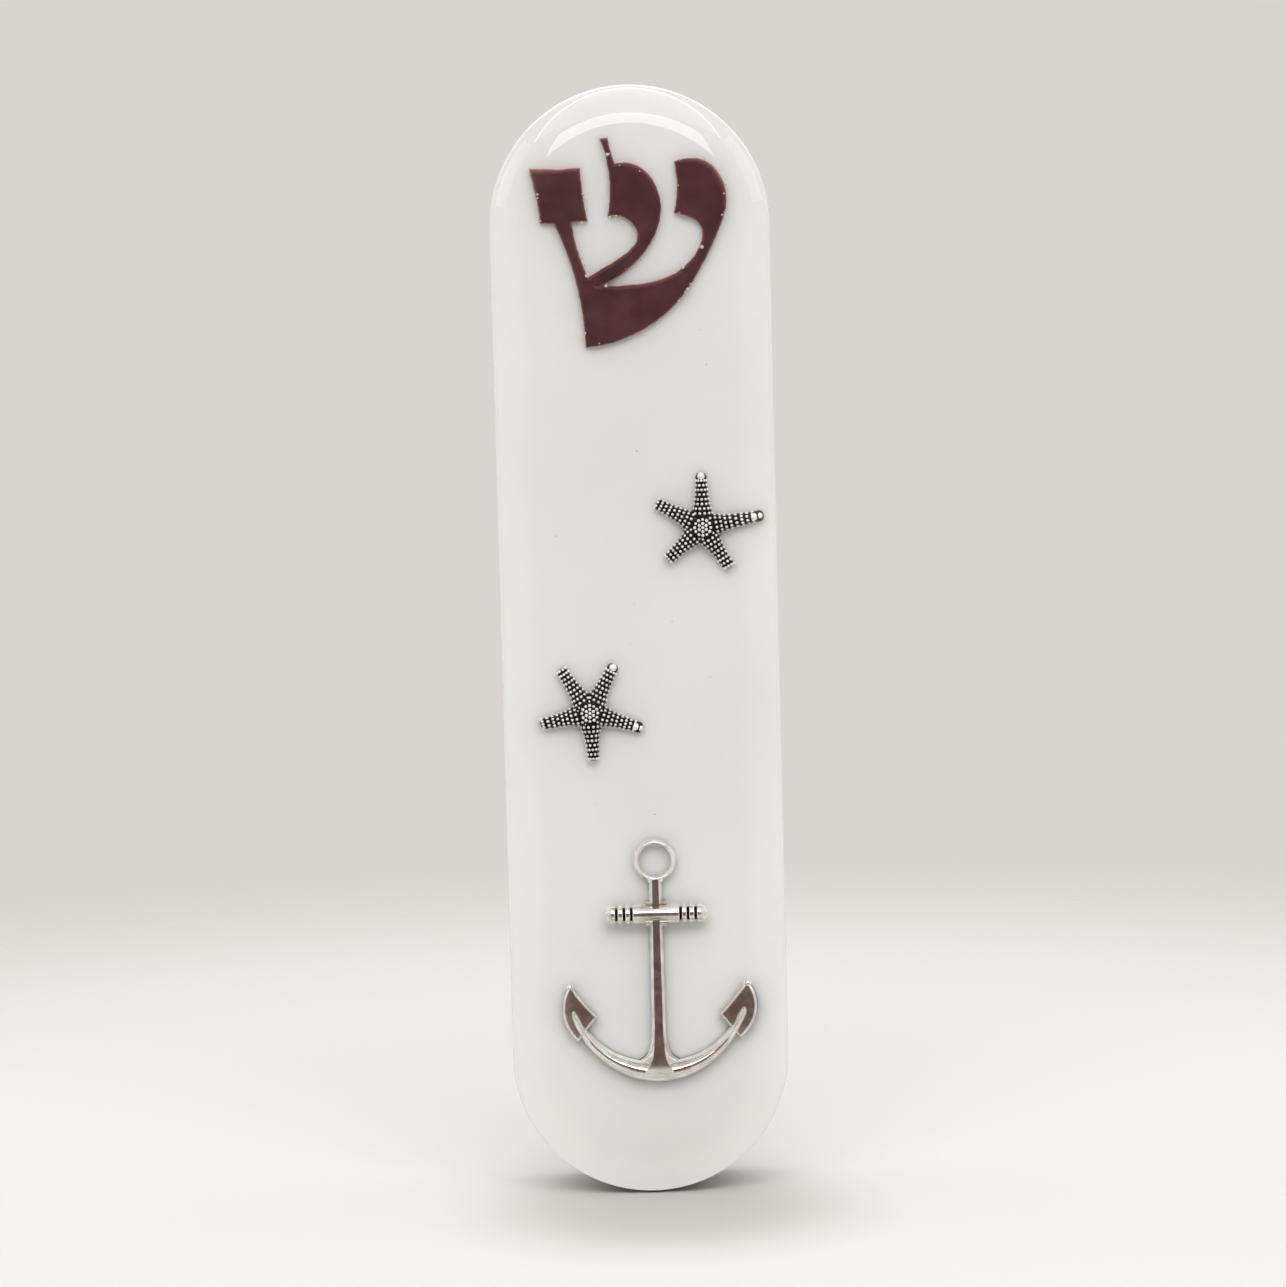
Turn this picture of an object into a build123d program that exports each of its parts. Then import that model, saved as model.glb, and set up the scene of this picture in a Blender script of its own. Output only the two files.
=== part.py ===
"""A cast-resin mezuzah case with a clear front that holds a letter and three metal charms.

The case hangs on a doorpost. +Z is up, the front faces -Y, and the origin is the middle
of the doorpost plane, which is the outer face of the two adhesive strips on the back.
All sizes are in millimetres.
"""

import os

from build123d import *

# ---------------------------------------------------------------- driving dimensions
case_length = 120.0  # overall height of the pill-shaped case
case_width = 30.0  # overall width; the two ends are half circles of this diameter
front_round = 5.4  # radius that rolls the front face into the sides
back_round = 1.0  # smaller radius round the back
clear_depth = 4.0  # clear resin cast over the white resin
core_wall = 2.1  # white resin between the scroll channel and the clear layer

scroll_diameter = 7.2  # rolled parchment
scroll_bore = 3.0  # open middle of the roll
wrap_film = 0.2  # protective film round the roll
scroll_room = 0.4  # free space round the wrapped roll, back to front
side_room = 0.7  # free space at each side of the wrapped roll
end_wall = 12.0  # solid resin beyond each end of the channel
channel_spare = 12.0  # channel left free above the scroll, for a longer one
film_overhang = 2.0  # film that stands past each end of the roll

cover_thickness = 1.5
cover_ledge = 2.0  # ledge that the cover rests on, all round the channel
cover_gap = 0.15  # clearance round the cover in its rebate
cover_corner = 2.5
thumb_radius = 4.0  # scoop that lets a fingernail under the cover
thumb_depth = 1.1

tape_thickness = 1.0
tape_edge = 0.7  # flat back left bare outside each adhesive strip
tape_gap = 0.35  # flat back left bare between strip and cover
tape_end = 18.0  # distance from each end of the case to the strips
liner_thickness = 0.15
liner_lip = 0.3  # liner that stands past the strip's sides
liner_tab = 4.0  # liner that stands past the strip's lower end, to peel it by

letter_thickness = 0.8
letter_drop = 16.7  # top of the case to the letter's middle
anchor_rise = 25.8  # bottom of the case to the anchor's middle
anchor_shift = 0.95  # anchor's axis from the case's middle
upper_star_inset = 8.0  # right side of the case to the upper starfish's centre
upper_star_rise = 12.7  # middle of the case to the upper starfish's centre
lower_star_inset = 9.4  # left side of the case to the lower starfish's centre
lower_star_drop = 7.0  # middle of the case to the lower starfish's centre
lower_star_turn = -29.0  # degrees between the two starfish

# ---------------------------------------------------------------- sizes that follow
wrap_diameter = scroll_diameter + 2 * wrap_film
channel_width = wrap_diameter + 2 * side_room
channel_depth = wrap_diameter + 2 * scroll_room
channel_length = case_length - 2 * end_wall
wrap_length = channel_length - channel_spare
scroll_length = wrap_length - 2 * film_overhang
rebate_width = channel_width + 2 * cover_ledge
rebate_length = channel_length + 2 * cover_ledge
core_depth = cover_thickness + channel_depth + core_wall
case_depth = core_depth + clear_depth

# Planes that face the front, each a distance forward of the doorpost.
doorpost = Plane.XZ
back_face = doorpost.offset(tape_thickness)
cover_seat = back_face.offset(cover_thickness)
white_face = back_face.offset(core_depth)


# ---------------------------------------------------------------- letter
# The letter shin, drawn about its own middle as one outline of short lines and curves:
# a square left head on a thin stem, a middle stroke with a fine spur, and a right
# stroke that sweeps down into the foot.
left_top, right_top = (-10.05, 7.7), (-5.1, 8.0)
left_head_foot, stem_start = (-4.45, 2.3), (-6.2, 2.3)
stem_fork, middle_toe = (-4.55, -3.65), (-2.3, 2.75)
middle_top, spur_left, spur_right = (-2.25, 8.5), (-2.95, 10.95), (-2.1, 11.1)
spur_root, stroke_fork = (-1.4, 8.35), (-3.7, -4.5)
right_toe, right_head = (4.75, 2.95), (4.9, 8.4)
foot_tip, stem_left, left_foot = (-5.0, -11.1), (-8.0, 2.1), (-9.5, 2.2)

letter_middle = case_length / 2 - letter_drop
letter_plane = white_face.shift_origin(white_face.from_local_coords((0, letter_middle, 0)))
with BuildPart() as shin_letter:
    with BuildSketch(letter_plane):
        with BuildLine():
            Line(left_top, right_top)
            ThreePointArc(right_top, (-4.9, 5.2), left_head_foot)
            Line(left_head_foot, stem_start)
            ThreePointArc(stem_start, (-5.6, -0.7), stem_fork)
            Spline(stem_fork, (-1.4, -1.8), (0.8, 0.8), (-0.2, 2.4), middle_toe)
            ThreePointArc(middle_toe, (-2.0, 5.6), middle_top)
            ThreePointArc(middle_top, (-2.5, 9.75), spur_left)
            Line(spur_left, spur_right)
            ThreePointArc(spur_right, (-1.85, 9.8), spur_root)
            Spline(spur_root, (1.5, 7.75), (3.35, 4.4), (1.75, -0.8), stroke_fork)
            Spline(stroke_fork, (1.5, -4.4), (5.85, -2.6), (7.75, 0.7), right_toe)
            ThreePointArc(right_toe, (5.15, 5.8), right_head)
            Spline(right_head, (8.3, 8.1), (10.0, 5.3), (8.35, -1.3), (4.3, -7.1), (0.5, -9.7), foot_tip)
            ThreePointArc(foot_tip, (-5.85, -4.2), stem_left)
            Line(stem_left, left_foot)
            ThreePointArc(left_foot, (-9.72, 5.2), left_top)
        make_face()
    extrude(amount=letter_thickness)
shin_letter.part.label = "shin_letter"


# ---------------------------------------------------------------- starfish charms
# Five half-round arms that taper from a domed middle. The angles are in degrees from
# the case's right, and one arm is longer because it carries the stub of a loop.
arm_angles = (90.5, 151.5, 222.0, 302.0, 10.5)
arm_lengths = (5.9, 5.7, 5.25, 5.3, 6.0)
arm_root_width, arm_end_width, arm_tip_width = 2.5, 1.15, 0.5
arm_root_height, arm_end_height, arm_tip_height = 1.5, 0.9, 0.6
arm_edge_height = 0.35  # upright side of an arm, below its round
arm_tip_run = 0.4
star_dome_radius = 1.5
star_dome_height = 1.9


def arm_section(plane, width, height):
    """A flat-bottomed, round-topped section across an arm."""
    with BuildSketch(plane) as section:
        with BuildLine():
            Polyline(
                (-width / 2, arm_edge_height),
                (-width / 2, 0),
                (width / 2, 0),
                (width / 2, arm_edge_height),
            )
            ThreePointArc((width / 2, arm_edge_height), (0, height), (-width / 2, arm_edge_height))
        make_face()
    return section.sketch


def starfish(centre, turn, label):
    """A starfish charm lying on the white resin about centre, turned in degrees."""
    middle = Plane(
        origin=white_face.from_local_coords((*centre, 0)),
        x_dir=white_face.x_dir,
        z_dir=white_face.z_dir,
    )
    with BuildPart() as star:
        for angle, length in zip(arm_angles, arm_lengths):
            along = Vector(1, 0, 0).rotate(Axis.Z, angle + turn)
            outward = middle.from_local_coords(along) - middle.origin
            across = middle.z_dir.cross(outward)
            root = Plane(origin=middle.origin, x_dir=across, z_dir=outward)
            sections = [
                arm_section(root, arm_root_width, arm_root_height),
                arm_section(root.offset(length - arm_tip_run), arm_end_width, arm_end_height),
                arm_section(root.offset(length), arm_tip_width, arm_tip_height),
            ]
            loft(sections, ruled=True)
        profile = Plane(origin=middle.origin, x_dir=middle.x_dir, z_dir=-middle.y_dir)
        with BuildSketch(profile):
            with BuildLine():
                Line((0, 0), (star_dome_radius, 0))
                Line((star_dome_radius, 0), (star_dome_radius, arm_edge_height))
                Spline(
                    (star_dome_radius, arm_edge_height),
                    (0.7 * star_dome_radius, 0.8 * star_dome_height),
                    (0, star_dome_height),
                    tangents=((0, 1), (-1, 0)),
                )
                Line((0, star_dome_height), (0, 0))
            make_face()
        revolve(axis=Axis(middle.origin, middle.z_dir))
    star.part.label = label
    return star.part


upper_star_centre = (case_width / 2 - upper_star_inset, upper_star_rise)
lower_star_centre = (lower_star_inset - case_width / 2, -lower_star_drop)
starfish_upper = starfish(upper_star_centre, 0, "starfish_upper")
starfish_lower = starfish(lower_star_centre, lower_star_turn, "starfish_lower")


# ---------------------------------------------------------------- anchor charm
# A flat-backed anchor, drawn about its own middle: ring, shank, stock, curved arms and
# two leaf-shaped flukes.
anchor_height = 26.6
ring_outer, ring_inner, ring_height = 2.28, 1.72, 1.0
shank_width, shank_height, shank_round = 1.55, 1.9, 0.7
stock_length, stock_width, stock_height, stock_round = 11.4, 2.1, 2.0, 0.95
stock_drop = 5.8  # ring's centre to the stock
arm_height, fluke_height, crown_height = 1.6, 1.2, 1.9
arm_thickness = 2.3  # arms at the crown; they thin towards the flukes
fluke_tip, fluke_bulge, outer_barb = (9.45, -2.3), (10.3, -5.4), (8.75, -8.6)
barb_notch, inner_barb, fluke_hollow = (7.7, -7.2), (6.6, -5.9), (8.0, -4.4)
arm_end = (9.3, -5.0)

ring_middle = anchor_height / 2 - ring_outer
stock_middle = ring_middle - stock_drop
anchor_foot = -anchor_height / 2
arm_inner = anchor_foot + arm_thickness
anchor_origin = white_face.from_local_coords((anchor_shift, anchor_rise - case_length / 2, 0))
anchor_plane = white_face.shift_origin(anchor_origin)


def mirrored(point):
    return (-point[0], point[1])


with BuildPart() as shank:
    with BuildSketch(anchor_plane):
        with Locations((0, (ring_middle - ring_inner + arm_inner) / 2)):
            Rectangle(shank_width, ring_middle - ring_inner - arm_inner)
    extrude(amount=shank_height)
    fillet(shank.faces().sort_by(Axis.Y)[0].edges().filter_by(Axis.Z), shank_round)

with BuildPart() as stock:
    with BuildSketch(anchor_plane):
        with Locations((0, stock_middle)):
            SlotOverall(stock_length, stock_width)
    extrude(amount=stock_height)
    fillet(stock.faces().sort_by(Axis.Y)[0].edges(), stock_round)

with BuildPart() as anchor_charm:
    add(shank.part)
    add(stock.part)
    with BuildSketch(anchor_plane):
        with Locations((0, ring_middle)):
            Circle(ring_outer)
            Circle(ring_inner, mode=Mode.SUBTRACT)
    extrude(amount=ring_height)
    with BuildSketch(anchor_plane):
        with BuildLine():
            ThreePointArc(arm_end, (0, anchor_foot), mirrored(arm_end))
            ThreePointArc(mirrored(arm_end), (0, arm_inner), arm_end)
        make_face()
    extrude(amount=arm_height)
    with BuildSketch(anchor_plane):
        with BuildLine():
            Line((-3.2, arm_inner - 0.6), (3.2, arm_inner - 0.6))
            ThreePointArc((3.2, arm_inner - 0.6), (1.35, arm_inner + 0.55), (0.6, arm_inner + 2.6))
            Line((0.6, arm_inner + 2.6), (-0.6, arm_inner + 2.6))
            ThreePointArc((-0.6, arm_inner + 2.6), (-1.35, arm_inner + 0.55), (-3.2, arm_inner - 0.6))
        make_face()
    extrude(amount=arm_height)
    for side in (lambda point: point, mirrored):
        with BuildSketch(anchor_plane):
            with BuildLine():
                ThreePointArc(side(fluke_tip), side(fluke_bulge), side(outer_barb))
                Line(side(outer_barb), side(barb_notch))
                Line(side(barb_notch), side(inner_barb))
                ThreePointArc(side(inner_barb), side(fluke_hollow), side(fluke_tip))
            make_face()
        extrude(amount=fluke_height)
anchor_charm.part.label = "anchor_charm"


# ---------------------------------------------------------------- case
# One pill-shaped casting, in two layers that meet on a flat face.
with BuildPart() as casting:
    with BuildSketch(back_face):
        SlotOverall(case_length, case_width, rotation=90)
    extrude(amount=case_depth)
    fillet(casting.faces().sort_by(Axis.Y)[0].edges(), front_round)
    fillet(casting.faces().sort_by(Axis.Y)[-1].edges(), back_round)

with BuildPart() as clear_front:
    add(casting.part)
    split(bisect_by=white_face, keep=Keep.TOP)
    for inclusion in (shin_letter.part, starfish_upper, starfish_lower, anchor_charm.part):
        add(inclusion, mode=Mode.SUBTRACT)
clear_front.part.label = "clear_front"

with BuildPart() as case_body:
    add(casting.part)
    split(bisect_by=white_face, keep=Keep.BOTTOM)
    with BuildSketch(back_face):
        RectangleRounded(rebate_width, rebate_length, cover_corner)
    extrude(amount=cover_thickness, mode=Mode.SUBTRACT)
    with BuildSketch(cover_seat):
        Rectangle(channel_width, channel_length)
    extrude(amount=channel_depth, mode=Mode.SUBTRACT)
    channel_floor = case_body.faces().filter_by(Axis.Y).sort_by(Axis.Y)[1]
    fillet(channel_floor.edges().filter_by(Axis.Z), channel_width / 3)
    with BuildSketch(back_face):
        with Locations((0, -rebate_length / 2)):
            Circle(thumb_radius)
    extrude(amount=thumb_depth, mode=Mode.SUBTRACT)
case_body.part.label = "case_body"


# ---------------------------------------------------------------- back cover
with BuildPart() as back_cover:
    with BuildSketch(back_face):
        RectangleRounded(
            rebate_width - 2 * cover_gap,
            rebate_length - 2 * cover_gap,
            cover_corner - cover_gap,
        )
    extrude(amount=cover_thickness)
back_cover.part.label = "back_cover"


# ---------------------------------------------------------------- scroll
wrap_bottom = Plane(
    origin=cover_seat.from_local_coords((0, scroll_room - channel_length / 2, channel_depth / 2)),
    z_dir=(0, 0, 1),
)
with BuildPart() as scroll:
    with BuildSketch(wrap_bottom.offset(film_overhang)):
        Circle(scroll_diameter / 2)
        Circle(scroll_bore / 2, mode=Mode.SUBTRACT)
    extrude(amount=scroll_length)
scroll.part.label = "scroll"

with BuildPart() as scroll_wrapper:
    with BuildSketch(wrap_bottom):
        Circle(wrap_diameter / 2)
        Circle(scroll_diameter / 2, mode=Mode.SUBTRACT)
    extrude(amount=wrap_length)
scroll_wrapper.part.label = "scroll_wrapper"


# ---------------------------------------------------------------- adhesive strips
tape_inside = rebate_width / 2 + tape_gap
tape_outside = case_width / 2 - back_round - tape_edge
tape_width = tape_outside - tape_inside
tape_length = case_length - 2 * tape_end
tape_middle = (tape_inside + tape_outside) / 2


def strip(x, thickness, name):
    """A double-sided foam strip between the case and the doorpost."""
    with BuildPart() as piece:
        with BuildSketch(doorpost):
            with Locations((x, 0)):
                Rectangle(tape_width, tape_length)
        extrude(amount=thickness)
    piece.part.label = name
    return piece.part


def liner(x, name):
    """The release film on a strip's outer face, with a tab at its lower end."""
    with BuildPart() as piece:
        with BuildSketch(doorpost):
            with Locations((x, -liner_tab / 2)):
                Rectangle(tape_width + 2 * liner_lip, tape_length + liner_tab)
        extrude(amount=-liner_thickness)
    piece.part.label = name
    return piece.part


left_tape = strip(-tape_middle, tape_thickness, "left_tape")
right_tape = strip(tape_middle, tape_thickness, "right_tape")
left_liner = liner(-tape_middle, "left_liner")
right_liner = liner(tape_middle, "right_liner")


# ---------------------------------------------------------------- files
os.makedirs("parts", exist_ok=True)
pieces = (
    case_body.part,
    clear_front.part,
    shin_letter.part,
    starfish_upper,
    starfish_lower,
    anchor_charm.part,
    back_cover.part,
    scroll.part,
    scroll_wrapper.part,
    left_tape,
    right_tape,
    left_liner,
    right_liner,
)
for piece in pieces:
    export_step(piece, f"parts/{piece.label}.step")
    print(piece.label, "volume", round(piece.volume, 1), "mm3")
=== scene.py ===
# %% [markdown]
# # A cast-resin mezuzah case
# A mezuzah case holds a small rolled parchment and hangs on a doorpost. This one is a
# pill-shaped casting in two pours: a clear layer that holds a dark red letter and three
# metal charms, and a milky white layer behind it with a channel for the parchment.
#
# The CAD model is the fixed frame here. Every size and place comes from it, and this
# file adds what a CAD model leaves out: soft rims, beads, grooves, paper, and light.

# %% Load the frame
import math
import random

import bmesh
import bpy
from mathutils import Matrix, Vector
from mathutils.kdtree import KDTree
from mathutils.noise import noise as noise_at


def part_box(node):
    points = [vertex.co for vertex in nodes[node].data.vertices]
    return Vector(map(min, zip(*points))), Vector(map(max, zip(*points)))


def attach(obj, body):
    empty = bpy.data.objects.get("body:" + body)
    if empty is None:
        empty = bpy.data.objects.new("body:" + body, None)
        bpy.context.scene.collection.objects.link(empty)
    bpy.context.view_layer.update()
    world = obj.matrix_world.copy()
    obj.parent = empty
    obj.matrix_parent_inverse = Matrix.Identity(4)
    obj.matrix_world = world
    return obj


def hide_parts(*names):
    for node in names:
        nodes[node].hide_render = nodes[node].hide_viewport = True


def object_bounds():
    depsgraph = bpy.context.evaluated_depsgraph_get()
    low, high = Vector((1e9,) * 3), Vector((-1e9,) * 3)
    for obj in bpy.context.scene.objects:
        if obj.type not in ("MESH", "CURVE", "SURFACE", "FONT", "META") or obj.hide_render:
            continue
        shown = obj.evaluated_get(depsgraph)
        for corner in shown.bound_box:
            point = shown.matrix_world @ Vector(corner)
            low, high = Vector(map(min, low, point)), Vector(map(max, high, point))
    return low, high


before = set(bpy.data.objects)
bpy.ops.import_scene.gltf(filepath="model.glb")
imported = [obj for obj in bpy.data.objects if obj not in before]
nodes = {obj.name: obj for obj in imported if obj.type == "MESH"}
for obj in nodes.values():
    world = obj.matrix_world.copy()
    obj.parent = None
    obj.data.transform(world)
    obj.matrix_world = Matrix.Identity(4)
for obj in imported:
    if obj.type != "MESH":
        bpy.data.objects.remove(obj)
cad_low, cad_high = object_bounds()
print("nodes", sorted(nodes))

# %% [markdown]
# ## Millimetres on the bench
# Blender's unit is the metre, and this case has details of a fifth of a millimetre. The
# bmesh operators are steadier on numbers near one, so each piece is modelled in
# millimetres and scaled to metres as its last step.

# %% Measure the case
MM = 0.001


def node_box(name):
    """Lowest and highest corner of a CAD node, in millimetres."""
    low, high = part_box(name)
    return Vector(low) / MM, Vector(high) / MM


case_low, case_high = node_box("case_body")
clear_low, clear_high = node_box("clear_front")
front_y = clear_low.y
join_y = clear_high.y
case_radius = (case_high.x - case_low.x) / 2
print("front", round(front_y, 2), "join", round(join_y, 2), "radius", round(case_radius, 2))


# %% A finished piece from a bmesh
def finish_piece(bm, name, material, body="case", replaces=(), smooth_angle=35):
    """Turns a bmesh in millimetres into a piece that rides on a body."""
    open_edges = sum(not edge.is_manifold for edge in bm.edges)
    bmesh.ops.scale(bm, vec=(MM, MM, MM), verts=bm.verts)
    mesh = bpy.data.meshes.new(name)
    bm.to_mesh(mesh)
    bm.free()
    mesh.materials.append(material)
    mesh.shade_smooth()
    mesh.set_sharp_from_angle(angle=math.radians(smooth_angle))
    piece = bpy.data.objects.new(name, mesh)
    bpy.context.scene.collection.objects.link(piece)
    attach(piece, body)
    if replaces:
        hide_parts(*replaces)
    print(name, "faces", len(mesh.polygons), "open edges", open_edges)
    return piece


# %% [markdown]
# ## Small helpers for materials
# Every finish starts from the Principled shader and reads Object coordinates, so its
# pattern stays where it is on the piece when the view or the pose changes. Scales are
# per metre: a noise of scale 1000 has features about a millimetre wide.

# %% Material helpers
def new_material(name, roughness, **constants):
    """A material, its tree, its Principled shader, and the Object coordinates."""
    material = bpy.data.materials.new(name)
    material.use_nodes = True
    tree = material.node_tree
    shader = tree.nodes["Principled BSDF"]
    shader.inputs["Roughness"].default_value = roughness
    for socket, value in constants.items():
        shader.inputs[socket.replace("_", " ")].default_value = value
    place = tree.nodes.new("ShaderNodeTexCoord")
    return material, tree, shader, place.outputs["Object"]


def noise(tree, place, scale, detail=3.0, stretch=(1, 1, 1)):
    """Soft clouds; stretch above one packs them closer along that axis."""
    mapping = tree.nodes.new("ShaderNodeMapping")
    mapping.inputs["Scale"].default_value = stretch
    clouds = tree.nodes.new("ShaderNodeTexNoise")
    clouds.inputs["Scale"].default_value = scale
    clouds.inputs["Detail"].default_value = detail
    tree.links.new(place, mapping.inputs["Vector"])
    tree.links.new(mapping.outputs["Vector"], clouds.inputs["Vector"])
    return clouds.outputs["Fac"]


def cells(tree, place, scale):
    """Distance from the middle of the nearest of many scattered cells."""
    scatter = tree.nodes.new("ShaderNodeTexVoronoi")
    scatter.inputs["Scale"].default_value = scale
    tree.links.new(place, scatter.inputs["Vector"])
    return scatter.outputs["Distance"]


def ramp(tree, value, *stops):
    """Colours along a value, each stop a position and a colour."""
    node = tree.nodes.new("ShaderNodeValToRGB")
    points = node.color_ramp.elements
    points[0].position, points[0].color = stops[0][0], (*stops[0][1], 1)
    points[1].position, points[1].color = stops[-1][0], (*stops[-1][1], 1)
    for position, colour in stops[1:-1]:
        points.new(position).color = (*colour, 1)
    tree.links.new(value, node.inputs["Fac"])
    return node.outputs["Color"]


def spread(tree, value, low, high):
    """A value from 0 to 1, spread over another range."""
    node = tree.nodes.new("ShaderNodeMapRange")
    node.inputs["To Min"].default_value = low
    node.inputs["To Max"].default_value = high
    tree.links.new(value, node.inputs["Value"])
    return node.outputs["Result"]


def multiply(tree, one, other):
    """Two colours multiplied, so that the darker of them wins."""
    node = tree.nodes.new("ShaderNodeMix")
    node.data_type = "RGBA"
    node.blend_type = "MULTIPLY"
    node.inputs["Factor"].default_value = 1.0
    tree.links.new(one, node.inputs["A"])
    tree.links.new(other, node.inputs["B"])
    return node.outputs["Result"]


def bump(tree, shader, height, millimetres):
    """Relief on the surface, as deep as the given size."""
    node = tree.nodes.new("ShaderNodeBump")
    node.inputs["Distance"].default_value = millimetres * MM
    tree.links.new(height, node.inputs["Height"])
    tree.links.new(node.outputs["Normal"], shader.inputs["Normal"])


def piece_attribute(tree, name):
    """A value that the piece's own vertices carry."""
    node = tree.nodes.new("ShaderNodeAttribute")
    node.attribute_name = name
    return node.outputs["Fac"]


# %% [markdown]
# ## White resin
# The white pour is opaque and milky, with a little light running under its skin and a
# few dark specks of dust that fell in while it set. The CAD casting already has the
# right shape, so it keeps its mesh and only gets this finish. The specks are the very
# middles of widely scattered cells.

# %% White resin
def milky_resin():
    material, tree, shader, place = new_material("white_resin", 0.24)
    shader.inputs["Subsurface Weight"].default_value = 0.5
    shader.inputs["Subsurface Radius"].default_value = (1.0, 0.9, 0.8)
    shader.inputs["Subsurface Scale"].default_value = 3 * MM
    milk = ramp(
        tree, noise(tree, place, 60, 2.0), (0.3, (0.80, 0.81, 0.80)), (0.7, (0.84, 0.85, 0.84))
    )
    grey, clean = (0.32, 0.30, 0.28), (1.0, 1.0, 1.0)
    dust = ramp(tree, cells(tree, place, 95), (0.008, grey), (0.016, clean))
    tree.links.new(multiply(tree, milk, dust), shader.inputs["Base Color"])
    bump(tree, shader, noise(tree, place, 180, 2.0), 0.015)
    return material


white_resin = milky_resin()
nodes["case_body"].data.materials.clear()
nodes["case_body"].data.materials.append(white_resin)
print("case_body has", white_resin.name)

# %% [markdown]
# ## Clear resin
# Clear resin is glass to the eye: it bends light and mirrors the room in its rounded
# rim. Cycles can't carry soft light through solid glass without noise, so shadow rays
# and diffuse rays pass straight through, while the camera still sees real refraction.

# %% Clear resin
def clear_glass(name, colour, roughness, refraction):
    """Glass for the eye that lets light from the lamps straight through."""
    material, tree, shader, place = new_material(name, roughness)
    shader.inputs["Base Color"].default_value = (*colour, 1)
    shader.inputs["IOR"].default_value = refraction
    shader.inputs["Transmission Weight"].default_value = 1.0
    light_path = tree.nodes.new("ShaderNodeLightPath")
    surface = shader.outputs["BSDF"]
    for ray in ("Is Diffuse Ray", "Is Shadow Ray"):
        open_way = tree.nodes.new("ShaderNodeBsdfTransparent")
        mix = tree.nodes.new("ShaderNodeMixShader")
        tree.links.new(light_path.outputs[ray], mix.inputs["Fac"])
        tree.links.new(surface, mix.inputs[1])
        tree.links.new(open_way.outputs["BSDF"], mix.inputs[2])
        surface = mix.outputs["Shader"]
    tree.links.new(surface, tree.nodes["Material Output"].inputs["Surface"])
    return material, tree, shader, place


clear_resin, tree, shader, place = clear_glass("clear_resin", (1.0, 1.0, 0.99), 0.0, 1.5)
bump(tree, shader, noise(tree, place, 90, 1.0), 0.02)
print("made", clear_resin.name)

# %% [markdown]
# ## The clear layer
# The CAD clear layer is hollow where the letter and charms lie. In a real pour the resin
# touches them all over, so the visible layer is made as one solid block. Two half-turn
# spins draw the pill outline, an extrude gives it depth, and one wide bevel rolls the
# front into the sides. The bevel has to run past the join to stay round, so the block is
# made deep first and cut at the join after it. A narrow inset round the flat front keeps
# its shading flat.

# %% Outline of the pill
EDGE_ROUND = 5.4
ARC_STEPS = 64
ROUND_STEPS = 28
DEEP = 12.0

bm = bmesh.new()
end_rise = case_high.z - case_radius
for side in (1, -1):
    start = bm.verts.new((side * case_radius, front_y, side * end_rise))
    bmesh.ops.spin(
        bm, geom=[start], cent=(0, front_y, side * end_rise), axis=(0, -1, 0),
        angle=math.pi, steps=ARC_STEPS,
    )
loose = [vertex for vertex in bm.verts if len(vertex.link_edges) == 1]
for side in (1, -1):
    bm.edges.new([vertex for vertex in loose if vertex.co.x * side > 0])
outline = bmesh.ops.contextual_create(bm, geom=bm.edges[:])["faces"]
print("outline corners", len(outline[0].verts))

# %% Depth and rounded front
OVERLAP = 0.03
deep_block = bmesh.ops.extrude_face_region(bm, geom=outline)["geom"]
back_ring = [item for item in deep_block if isinstance(item, bmesh.types.BMVert)]
bmesh.ops.translate(bm, verts=back_ring, vec=(0, DEEP, 0))
bmesh.ops.recalc_face_normals(bm, faces=bm.faces)
front_rim = [
    edge for edge in bm.edges if all(abs(vertex.co.y - front_y) < 1e-4 for vertex in edge.verts)
]
bmesh.ops.bevel(
    bm, geom=front_rim, offset=EDGE_ROUND, offset_type="OFFSET", affect="EDGES",
    segments=ROUND_STEPS, profile=0.5, material=-1, clamp_overlap=False,
)
bmesh.ops.bisect_plane(
    bm, geom=bm.verts[:] + bm.edges[:] + bm.faces[:], dist=1e-5,
    plane_co=(0, join_y + OVERLAP, 0), plane_no=(0, 1, 0), clear_outer=True,
)
bmesh.ops.contextual_create(bm, geom=[edge for edge in bm.edges if edge.is_boundary])
bmesh.ops.recalc_face_normals(bm, faces=bm.faces)
flats = [face for face in bm.faces if abs(face.normal.y) > 0.999 and len(face.verts) > 20]
bmesh.ops.inset_region(bm, faces=flats, thickness=0.4, use_even_offset=True)
finish_piece(bm, "clear_layer", clear_resin, replaces=("clear_front",))

# %% [markdown]
# ## Copies of CAD shapes
# Some pieces only need the CAD shape with softer edges. The CAD mesh is loose triangles,
# so a copy of it is merged first, and then its flat faces are made whole again.

# %% A merged copy of a CAD node
def merged_copy(name):
    """A bmesh of a CAD node in millimetres, with its triangles merged."""
    bm = bmesh.new()
    bm.from_mesh(nodes[name].data)
    bmesh.ops.scale(bm, vec=(1 / MM, 1 / MM, 1 / MM), verts=bm.verts)
    bmesh.ops.remove_doubles(bm, verts=bm.verts, dist=1e-4)
    return bm


def whole_copy(name):
    """A merged copy whose flat faces are whole again."""
    bm = merged_copy(name)
    bmesh.ops.dissolve_limit(bm, angle_limit=math.radians(0.5), verts=bm.verts, edges=bm.edges)
    return bm


def sharp_edges(bm, degrees=40):
    """Edges where two faces meet at more than the given turn."""
    return [edge for edge in bm.edges if edge.calc_face_angle(0) > math.radians(degrees)]


# %% [markdown]
# ## The letter
# The letter is a thin red casting laid face down in the mould. Where it is full it looks
# almost black, and at its rim it thins out and shows red. It starts from the CAD front
# face, diced by close planes so that it has points everywhere. A soft noise nudges them
# a few hundredths of a millimetre, because a poured edge is never perfectly clean. Each
# point then measures how far it lies from the outline: that rolls the rim over, and it
# stays on the mesh as a value that the colour follows.

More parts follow.
